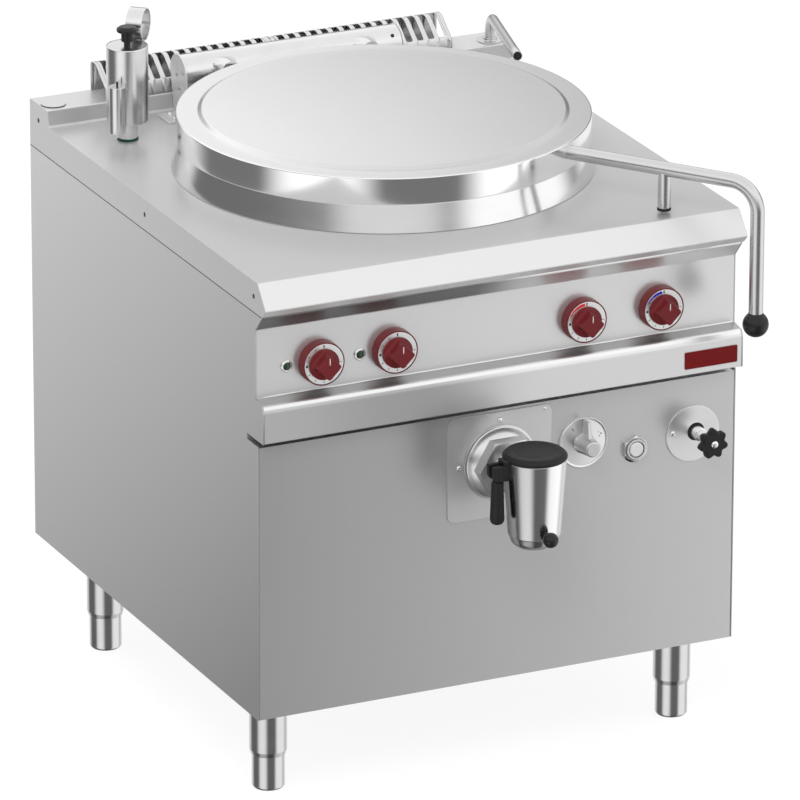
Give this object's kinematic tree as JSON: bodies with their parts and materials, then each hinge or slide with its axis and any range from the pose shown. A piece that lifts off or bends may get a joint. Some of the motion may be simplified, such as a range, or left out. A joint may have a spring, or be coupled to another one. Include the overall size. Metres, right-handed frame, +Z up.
{
  "type": "steam jacketed kettle",
  "caption": "Round steam jacketed boiling kettle in a square floor-standing cabinet, with hinged lid, front drain tap, controls, safety valve and adjustable feet.",
  "frame": {"origin": "middle of the bounding box at floor level", "axes": "+Z up, -Y towards the front with the tap, +X to the right seen from the front"},
  "size_m": [0.8004, 1.0438, 1.0496],
  "materials": {
    "back_panel": "satin brushed stainless steel",
    "badge_plate": "dark red, bare",
    "ball_grip": "black, matt",
    "base_tray": "satin brushed stainless steel",
    "bezel_1": "dark red moulded plastic",
    "bezel_2": "dark red moulded plastic",
    "bezel_3": "dark red moulded plastic",
    "bezel_4": "dark red moulded plastic",
    "button_nut": "turned, matt stainless steel",
    "collar_ring": "polished stainless steel",
    "control_carrier": "black, matt",
    "control_panel": "satin brushed stainless steel",
    "drain_pipe": "satin brushed stainless steel",
    "foot_front_left": "polished stainless steel",
    "foot_front_right": "polished stainless steel",
    "foot_rear_left": "polished stainless steel",
    "foot_rear_right": "polished stainless steel",
    "heating_elements": "spring steel",
    "hinge_bracket_left": "satin brushed stainless steel",
    "hinge_bracket_right": "satin brushed stainless steel",
    "hinge_spring": "spring steel",
    "hinge_tube": "polished stainless steel",
    "insulation_wrap": "mineral wool",
    "knob_1": "dark red moulded plastic",
    "knob_2": "dark red moulded plastic",
    "knob_3": "dark red moulded plastic",
    "knob_4": "dark red moulded plastic",
    "leg_sleeve_front_left": "polished stainless steel",
    "leg_sleeve_front_right": "polished stainless steel",
    "leg_sleeve_rear_left": "polished stainless steel",
    "leg_sleeve_rear_right": "polished stainless steel",
    "lid": "satin brushed stainless steel",
    "lid_handle": "polished stainless steel",
    "lower_front_panel": "satin brushed stainless steel",
    "outlet_ball": "black, matt",
    "push_button": "turned, matt stainless steel",
    "safety_valve": "polished stainless steel",
    "safety_valve_gasket": "green sealing ring",
    "safety_valve_knob": "black, matt",
    "selector_disc": "turned, matt stainless steel",
    "selector_knob": "turned, matt stainless steel",
    "side_panel_left": "satin brushed stainless steel",
    "side_panel_right": "satin brushed stainless steel",
    "signal_lamp_1": "green, translucent look",
    "signal_lamp_2": "green, translucent look",
    "star_knob": "black, matt",
    "steam_jacket": "satin brushed stainless steel",
    "steam_riser_pipe": "satin brushed stainless steel",
    "tap_body": "polished stainless steel",
    "tap_cap": "black, matt",
    "tap_lever": "black, matt",
    "tap_nut": "turned, matt stainless steel",
    "tap_plate": "satin brushed stainless steel",
    "tap_plunger": "satin brushed stainless steel",
    "tap_rosette": "turned, matt stainless steel",
    "valve_disc": "turned, matt stainless steel",
    "vent_grille": "satin brushed stainless steel",
    "vessel": "polished stainless steel",
    "water_spout": "polished stainless steel",
    "worktop": "satin brushed stainless steel"
  },
  "bodies": {
    "cabinet": {"back_panel": "back_panel", "badge_plate": "badge_plate", "base_tray": "base_tray", "bezel_1": "bezel_1", "bezel_2": "bezel_2", "bezel_3": "bezel_3", "bezel_4": "bezel_4", "button_nut": "button_nut", "collar_ring": "collar_ring", "control_carrier": "control_carrier", "control_panel": "control_panel", "drain_pipe": "drain_pipe", "heating_elements": "heating_elements", "hinge_bracket_left": "hinge_bracket_left", "hinge_bracket_right": "hinge_bracket_right", "hinge_spring": "hinge_spring", "insulation_wrap": "insulation_wrap", "leg_sleeve_front_left": "leg_sleeve_front_left", "leg_sleeve_front_right": "leg_sleeve_front_right", "leg_sleeve_rear_left": "leg_sleeve_rear_left", "leg_sleeve_rear_right": "leg_sleeve_rear_right", "lower_front_panel": "lower_front_panel", "outlet_ball": "outlet_ball", "safety_valve": "safety_valve", "safety_valve_gasket": "safety_valve_gasket", "selector_disc": "selector_disc", "side_panel_left": "side_panel_left", "side_panel_right": "side_panel_right", "signal_lamp_1": "signal_lamp_1", "signal_lamp_2": "signal_lamp_2", "steam_jacket": "steam_jacket", "steam_riser_pipe": "steam_riser_pipe", "tap_body": "tap_body", "tap_cap": "tap_cap", "tap_nut": "tap_nut", "tap_plate": "tap_plate", "tap_rosette": "tap_rosette", "valve_disc": "valve_disc", "vent_grille": "vent_grille", "vessel": "vessel", "worktop": "worktop"},
    "lid_assembly": {"lid": "lid", "hinge_tube": "hinge_tube", "lid_handle": "lid_handle", "ball_grip": "ball_grip"},
    "tap_lever": {"tap_lever": "tap_lever"},
    "tap_plunger": {"tap_plunger": "tap_plunger"},
    "selector_knob": {"selector_knob": "selector_knob"},
    "push_button": {"push_button": "push_button"},
    "star_knob": {"star_knob": "star_knob"},
    "water_spout": {"water_spout": "water_spout"},
    "safety_valve_knob": {"safety_valve_knob": "safety_valve_knob"},
    "knob_1": {"knob_1": "knob_1"},
    "knob_2": {"knob_2": "knob_2"},
    "knob_3": {"knob_3": "knob_3"},
    "knob_4": {"knob_4": "knob_4"},
    "foot_front_left": {"foot_front_left": "foot_front_left"},
    "foot_front_right": {"foot_front_right": "foot_front_right"},
    "foot_rear_left": {"foot_rear_left": "foot_rear_left"},
    "foot_rear_right": {"foot_rear_right": "foot_rear_right"}
  },
  "joints": [
    {"name": "lid_hinge", "type": "hinge", "parent": "cabinet", "child": "lid_assembly", "pos_m": [0, 0.4299, 0.915], "axis": [-1, 0, 0], "range_deg": [0, 80]},
    {"name": "tap_lever_turn", "type": "hinge", "parent": "cabinet", "child": "tap_lever", "pos_m": [-0.062, -0.4541, 0.5382], "axis": [0, 1, 0], "range_deg": [0, 88]},
    {"name": "tap_plunger_lift", "type": "slide", "parent": "cabinet", "child": "tap_plunger", "axis": [0, 0, 1], "range_m": [0, 0.018]},
    {"name": "knob_1_turn", "type": "hinge", "parent": "cabinet", "child": "knob_1", "pos_m": [-0.295, -0.3251, 0.709], "axis": [0, 1, 0], "range_deg": [0, 270]},
    {"name": "knob_2_turn", "type": "hinge", "parent": "cabinet", "child": "knob_2", "pos_m": [-0.1745, -0.3251, 0.709], "axis": [0, 1, 0], "range_deg": [0, 270]},
    {"name": "knob_3_turn", "type": "hinge", "parent": "cabinet", "child": "knob_3", "pos_m": [0.1405, -0.3251, 0.709], "axis": [0, 1, 0], "range_deg": [0, 270]},
    {"name": "knob_4_turn", "type": "hinge", "parent": "cabinet", "child": "knob_4", "pos_m": [0.2705, -0.3251, 0.709], "axis": [0, 1, 0], "range_deg": [0, 270]},
    {"name": "selector_turn", "type": "hinge", "parent": "cabinet", "child": "selector_knob", "pos_m": [0.1405, -0.3321, 0.5125], "axis": [0, 1, 0], "range_deg": [-90, 90]},
    {"name": "button_press", "type": "slide", "parent": "cabinet", "child": "push_button", "axis": [0, 1, 0], "range_m": [0, 0.003], "stiffness_N_per_m": 400},
    {"name": "star_knob_turn", "type": "hinge", "parent": "cabinet", "child": "star_knob", "pos_m": [0.33199, -0.3321, 0.4995], "axis": [0, 1, 0], "range_deg": [-720, 0]},
    {"name": "spout_swivel", "type": "hinge", "parent": "cabinet", "child": "water_spout", "pos_m": [0.375, 0.4799, 0.876], "axis": [0, 0, 1], "range_deg": [-5, 120]},
    {"name": "safety_valve_pull", "type": "slide", "parent": "cabinet", "child": "safety_valve_knob", "axis": [0, 0, 1], "range_m": [0, 0.004], "stiffness_N_per_m": 1500},
    {"name": "adjust_front_left", "type": "slide", "parent": "cabinet", "child": "foot_front_left", "axis": [0, 0, -1], "range_m": [0, 0.05]},
    {"name": "adjust_front_right", "type": "slide", "parent": "cabinet", "child": "foot_front_right", "axis": [0, 0, -1], "range_m": [0, 0.05]},
    {"name": "adjust_rear_left", "type": "slide", "parent": "cabinet", "child": "foot_rear_left", "axis": [0, 0, -1], "range_m": [0, 0.05]},
    {"name": "adjust_rear_right", "type": "slide", "parent": "cabinet", "child": "foot_rear_right", "axis": [0, 0, -1], "range_m": [0, 0.05]}
  ],
  "couplings": [
    {"joint": "tap_lever_turn", "follows": "tap_plunger_lift", "rad_per_m": 82.418}
  ]
}
